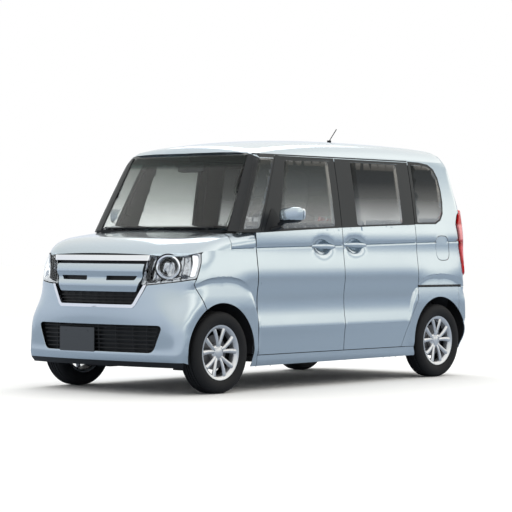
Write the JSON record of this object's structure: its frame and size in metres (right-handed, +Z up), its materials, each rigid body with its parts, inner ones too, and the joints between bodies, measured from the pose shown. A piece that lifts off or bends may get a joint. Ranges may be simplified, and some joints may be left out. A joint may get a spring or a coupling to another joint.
{
  "type": "kei car",
  "caption": "Kei-class tall wagon: hollow body with hinged front doors, hood, tailgate and fuel lid, steered front wheels, seats and running gear.",
  "frame": {"origin": "on the ground, midway along the car and on its centre plane", "axes": "+X to the nose, +Y to the car's left, +Z up"},
  "size_m": [3.395, 1.824, 1.9074],
  "materials": {
    "paint": "metallic gloss",
    "glass": "clear",
    "headlamp": "clear",
    "tail_lamp": "gloss",
    "black_trim": "satin",
    "gloss_black": "gloss",
    "chrome": "polished",
    "plate": "satin",
    "underbody": "matte",
    "engine": "cast",
    "tyre": "matte",
    "alloy": "satin",
    "interior": "matte",
    "fabric": "woven"
  },
  "bodies": {
    "shell": {"antenna": "black_trim", "cabin_mirror": "interior", "cowl": "black_trim", "dashboard": "interior", "engine": "engine", "exhaust": "underbody", "fenders": "paint", "floor_pan": "underbody", "front_bumper": "paint", "front_chrome": "chrome", "front_seats": "fabric", "front_structure": "underbody", "front_subframe": "underbody", "front_wipers": "black_trim", "fuel_tank": "underbody", "grille_panel": "gloss_black", "grilles": "black_trim", "headlamps": "headlamp", "number_plate": "plate", "rear_axle": "underbody", "rear_bumper": "paint", "rear_seat": "fabric", "roof": "paint", "side_frame_left": "paint", "side_frame_right": "paint", "side_glass": "glass", "sliding_doors": "paint", "tail_lamps": "tail_lamp", "windscreen": "glass"},
    "hood": {"hood": "paint"},
    "tailgate": {"tailgate": "paint", "tailgate_glass": "glass"},
    "fuel_lid": {"fuel_lid": "paint"},
    "front_door_left": {"front_door_left": "paint", "front_door_glass_left": "glass"},
    "front_door_right": {"front_door_right": "paint", "front_door_glass_right": "glass"},
    "mirror_left": {"door_mirror_left": "paint"},
    "mirror_right": {"door_mirror_right": "paint"},
    "steering": {"steering_wheel": "interior"},
    "knuckle_left": {"knuckle_left": "underbody"},
    "knuckle_right": {"knuckle_right": "underbody"},
    "wheel_front_left": {"wheel_front_left": "alloy", "tyre_front_left": "tyre"},
    "wheel_front_right": {"wheel_front_right": "alloy", "tyre_front_right": "tyre"},
    "wheel_rear_left": {"wheel_rear_left": "alloy", "tyre_rear_left": "tyre"},
    "wheel_rear_right": {"wheel_rear_right": "alloy", "tyre_rear_right": "tyre"}
  },
  "joints": [
    {"name": "front_door_left_hinge", "type": "hinge", "parent": "shell", "child": "front_door_left", "pos_m": [0.799, 0.7235, 0.6], "axis": [0, 0, -1], "range_deg": [0, 68]},
    {"name": "mirror_left_fold", "type": "hinge", "parent": "front_door_left", "child": "mirror_left", "pos_m": [0.62, 0.765, 1.2], "axis": [0, 0, 1], "range_deg": [0, 60]},
    {"name": "steer_left", "type": "hinge", "parent": "shell", "child": "knuckle_left", "pos_m": [1.2025, 0.54, 0.2785], "axis": [0, 0, 1], "range_deg": [-35, 35]},
    {"name": "front_door_right_hinge", "type": "hinge", "parent": "shell", "child": "front_door_right", "pos_m": [0.799, -0.7235, 0.6], "axis": [0, 0, 1], "range_deg": [0, 68]},
    {"name": "mirror_right_fold", "type": "hinge", "parent": "front_door_right", "child": "mirror_right", "pos_m": [0.62, -0.765, 1.2], "axis": [0, 0, -1], "range_deg": [0, 60]},
    {"name": "steer_right", "type": "hinge", "parent": "shell", "child": "knuckle_right", "pos_m": [1.2025, -0.54, 0.2785], "axis": [0, 0, 1], "range_deg": [-35, 35]},
    {"name": "hood_hinge", "type": "hinge", "parent": "shell", "child": "hood", "pos_m": [1.105, 0, 1.082], "axis": [0, -1, 0], "range_deg": [0, 50]},
    {"name": "tailgate_hinge", "type": "hinge", "parent": "shell", "child": "tailgate", "pos_m": [-1.576, 0, 1.738], "axis": [0, 1, 0], "range_deg": [0, 80]},
    {"name": "fuel_lid_hinge", "type": "hinge", "parent": "shell", "child": "fuel_lid", "pos_m": [-1.308, 0.7165, 0.987], "axis": [0, 0.1289, -0.9917], "range_deg": [0, 90]},
    {"name": "steering_wheel_turn", "type": "hinge", "parent": "shell", "child": "steering", "pos_m": [0.43, -0.35, 0.975], "axis": [-0.891, 0, 0.454], "range_deg": [-525, 525]},
    {"name": "wheel_front_left_spin", "type": "hinge", "parent": "knuckle_left", "child": "wheel_front_left", "pos_m": [1.2025, 0.6525, 0.2785], "axis": [0, 1, 0], "continuous": true},
    {"name": "wheel_front_right_spin", "type": "hinge", "parent": "knuckle_right", "child": "wheel_front_right", "pos_m": [1.2025, -0.6525, 0.2785], "axis": [0, 1, 0], "continuous": true},
    {"name": "wheel_rear_left_spin", "type": "hinge", "parent": "shell", "child": "wheel_rear_left", "pos_m": [-1.3175, 0.6525, 0.2785], "axis": [0, 1, 0], "continuous": true},
    {"name": "wheel_rear_right_spin", "type": "hinge", "parent": "shell", "child": "wheel_rear_right", "pos_m": [-1.3175, -0.6525, 0.2785], "axis": [0, 1, 0], "continuous": true}
  ],
  "couplings": [
    {"joint": "steer_left", "follows": "steering_wheel_turn", "ratio": 0.066667},
    {"joint": "steer_right", "follows": "steering_wheel_turn", "ratio": 0.066667}
  ]
}
